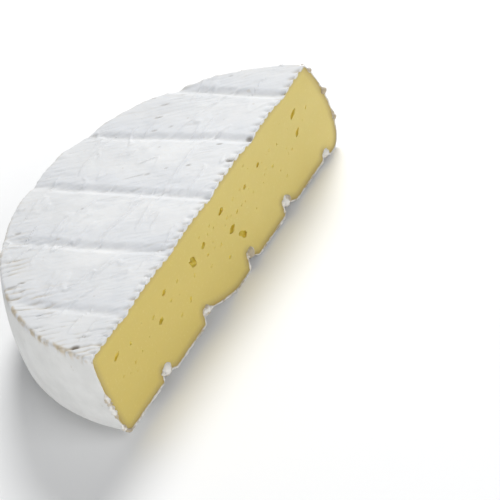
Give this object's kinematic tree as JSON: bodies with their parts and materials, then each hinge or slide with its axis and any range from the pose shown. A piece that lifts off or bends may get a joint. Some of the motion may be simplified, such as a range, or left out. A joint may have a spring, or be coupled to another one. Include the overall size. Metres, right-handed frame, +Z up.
{
  "type": "half wheel of soft double cream cheese",
  "caption": "Half a small wheel of soft white-rinded double cream cheese, cut flat just beside its middle, with rack grooves on top and small eyes in the pale yellow paste.",
  "frame": {"origin": "middle of the half wheel's own box at the level it rests on", "axes": "+X along the cut towards the end with the thicker underside lobe, +Y from the cut face towards the back of the rind, +Z up through the grooved top"},
  "size_m": [0.1456, 0.0702, 0.0363],
  "materials": {
    "rind": "matte, dry and downy white bloom, slightly creased",
    "paste": "soft, moist and satin, pale yellow"
  },
  "bodies": {
    "root": {"cheese_half": "rind"}
  },
  "joints": []
}
